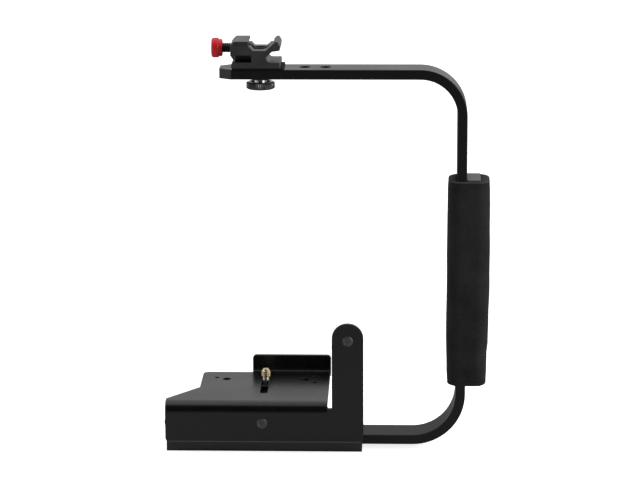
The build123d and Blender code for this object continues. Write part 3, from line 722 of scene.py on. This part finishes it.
def buildGrip(form):
    left, right, middleX = spanOf("grip_foam", 0)
    bottom, top, _ = spanOf("grip_foam", 2)
    fillerLeft, fillerRight, _ = spanOf("grip_filler", 0)
    half = (right - left) / 2 - form["ripple"] - form["fine"]
    rings = []
    for height, inset in gripHeights(bottom, top, form):
        share = (height - bottom) / (top - bottom)
        size = half * valueAt(share, form["heightShares"], form["halfShares"]) - inset
        aside = valueAt(share, form["heightShares"], form["sideways"])
        ring = []
        for place, normal in roundedSquare(size, size * form["cornerShare"], form["around"]):
            point = Vector((middleX + aside + place.x, place.y, height))
            swell = noise.noise(point / form["rippleSize"]) * form["ripple"]
            offset = Vector(form["fineOffset"])
            swell += noise.noise(point / form["fineSize"] + offset) * form["fine"]
            ring.append(point + Vector((normal.x, normal.y, 0)) * swell)
        rings.append(ring)

    holeLeft, holeRight = fillerLeft - form["barBeside"], fillerRight + form["holeGap"]
    holeMiddle, holeHalf = (holeLeft + holeRight) / 2, (holeRight - holeLeft) / 2
    holeDeep = spanOf("grip_filler", 1)[1] + form["holeGap"]
    outline = roundedSquare(1.0, form["holeCorner"], form["around"])
    mouth, start, end = form["mouth"], form["mouthStart"], form["mouthEnd"]
    for height, spread in ((top - start, mouth), (top - end, 0), (bottom + end, 0),
                           (bottom + start, mouth)):
        rings.append([Vector((holeMiddle + place.x * (holeHalf + spread),
                              place.y * (holeDeep + spread), height)) for place, _ in outline])
    points, faces = joinRings(rings, closed=True)
    piece = meshObject("gripFoamSkin", points, faces, smoothAngle=50)
    standIn(piece, "frame", "foam", "grip_foam")


buildGrip(gripForm)
print("grip ready")


# Floor and light; tent spans are of the view direction, floor spans of the place

lightForm = {"front": 0.015, "horizon": 0.60, "overhead": 0.85, "rightShare": 0.2,
             "behindSpan": (-0.45, -0.18), "besideSpan": (0.42, 0.72), "heightSpan": (0.1, 0.85),
             "white": 1.0, "floorReach": 6.0, "floorDrop": 0.2 * mm, "floorColour": 0.9,
             "floorSeen": 0.80, "floorNear": 0.46, "floorFar": 0.30,
             "nearY": -0.05, "farY": -0.50}
softboxes = {
    "topSoftbox": {"place": (0.1, 0.3, 1.5), "target": (0.05, 0.0, 0.1), "size": (1.4, 1.4),
                   "power": 1.5},
    "leftSoftbox": {"place": (-1.0, -0.05, 0.45), "target": (0.0, 0.0, 0.2),
                    "size": (0.8, 1.0), "power": 2.2},
    "rightSoftbox": {"place": (1.05, -0.65, 0.45), "target": (0.1, 0.0, 0.2),
                     "size": (0.8, 1.0), "power": 7.5}}


# Bright behind, overhead and at both sides, dark in front where the viewer stands
def buildWorld(form):
    world = bpy.data.worlds.new("softTent")
    bpy.context.scene.world = world
    tree = freshTree(world)
    output = addNode(tree, "OutputWorld")
    where = addNode(tree, "TexCoord").outputs["Generated"]
    parts = addNode(tree, "SeparateXYZ", sources={"Vector": where}).outputs

    def combine(operation, *values):
        constants = {i: v for i, v in enumerate(values) if isinstance(v, float)}
        sources = {i: v for i, v in enumerate(values) if not isinstance(v, float)}
        node = addNode(tree, "Math", constants, sources, operation=operation)
        return node.outputs["Value"]

    smooth = "SMOOTHSTEP"
    behind = mapRange(tree, parts["Y"], *form["behindSpan"], interpolation=smooth)
    beside = mapRange(tree, combine("ABSOLUTE", parts["X"]), *form["besideSpan"],
                      interpolation=smooth)
    height = mapRange(tree, parts["Z"], *form["heightSpan"], form["horizon"], form["overhead"],
                      interpolation=smooth)
    lean = combine("ADD", combine("MULTIPLY", parts["X"], form["rightShare"]), 1.0)
    glow = combine("MULTIPLY", combine("MAXIMUM", behind, beside), height)
    strength = combine("MAXIMUM", combine("MULTIPLY", glow, lean), form["front"])
    tent = addNode(tree, "Background", {"Color": (1, 1, 1, 1)}, {"Strength": strength})
    white = addNode(tree, "Background", {"Color": (1, 1, 1, 1), "Strength": form["white"]})
    mixed = splitForCamera(tree, tent.outputs["Background"], white.outputs["Background"])
    tree.links.new(mixed, output.inputs["Surface"])


# Near white to the camera, and a darker one, falling off to the front, to all that it lights
def buildFloor(form):
    reach, height = form["floorReach"], -form["floorDrop"]
    corners = [(-reach, -reach, height), (reach, -reach, height), (reach, reach, height),
               (-reach, reach, height)]
    floor = meshObject("floor", corners, [(0, 1, 2, 3)])
    material = bpy.data.materials.new("floorPale")
    tree = freshTree(material)
    output = addNode(tree, "OutputMaterial")
    seen = addNode(tree, "BsdfDiffuse", {"Color": (*[form["floorColour"]] * 3, 1)})
    glow = addNode(tree, "Emission", {"Strength": form["floorSeen"]})
    both = addNode(tree, "AddShader", sources={0: seen.outputs["BSDF"],
                                               1: glow.outputs["Emission"]})
    where = addNode(tree, "TexCoord").outputs["Object"]
    along = addNode(tree, "SeparateXYZ", sources={"Vector": where}).outputs["Y"]
    fall = mapRange(tree, along, form["farY"], form["nearY"], form["floorFar"],
                    form["floorNear"])
    unseen = addNode(tree, "BsdfDiffuse", sources={"Color": fall})
    mixed = splitForCamera(tree, unseen.outputs["BSDF"], both.outputs["Shader"])
    tree.links.new(mixed, output.inputs["Surface"])
    floor.data.materials.append(material)


def buildSoftbox(name, form):
    data = bpy.data.lights.new(name, "AREA")
    data.shape = "RECTANGLE"
    data.size, data.size_y = form["size"]
    data.energy = form["power"]
    lamp = bpy.data.objects.new(name, data)
    bpy.context.scene.collection.objects.link(lamp)
    lamp.location = form["place"]
    aim = Vector(form["target"]) - Vector(form["place"])
    lamp.rotation_euler = aim.to_track_quat("-Z", "Y").to_euler()


buildWorld(lightForm)
buildFloor(lightForm)
for softboxName, softboxForm in softboxes.items():
    buildSoftbox(softboxName, softboxForm)

# Camera: turns in radians, lens and sensor in millimetres

cameraForm = {"place": (0.09106, -1.59668, 0.53103), "yaw": -0.0335, "down": 0.2409,
              "roll": -0.0043, "lens": 142.80, "sensor": 36, "clip": (0.01, 50)}


def buildCamera(form):
    yaw, down, roll = form["yaw"], form["down"], form["roll"]
    forward = Vector((math.sin(yaw) * math.cos(down), math.cos(yaw) * math.cos(down),
                      -math.sin(down)))
    right = Vector((math.cos(yaw), -math.sin(yaw), 0))
    up = right.cross(forward)
    turnedRight = math.cos(roll) * right + math.sin(roll) * up
    turnedUp = -math.sin(roll) * right + math.cos(roll) * up
    data = bpy.data.cameras.new("photoCamera")
    data.lens = form["lens"]
    data.sensor_fit = "HORIZONTAL"
    data.sensor_width = form["sensor"]
    data.clip_start, data.clip_end = form["clip"]
    camera = bpy.data.objects.new("photoCamera", data)
    bpy.context.scene.collection.objects.link(camera)
    columns = (turnedRight, turnedUp, -forward, Vector(form["place"]))
    camera.matrix_world = Matrix([[column[r] for column in columns] for r in range(3)]
                                 + [[0, 0, 0, 1]])
    bpy.context.scene.camera = camera


buildCamera(cameraForm)
bpy.context.scene.view_settings.view_transform = "Standard"
print("light and camera ready")
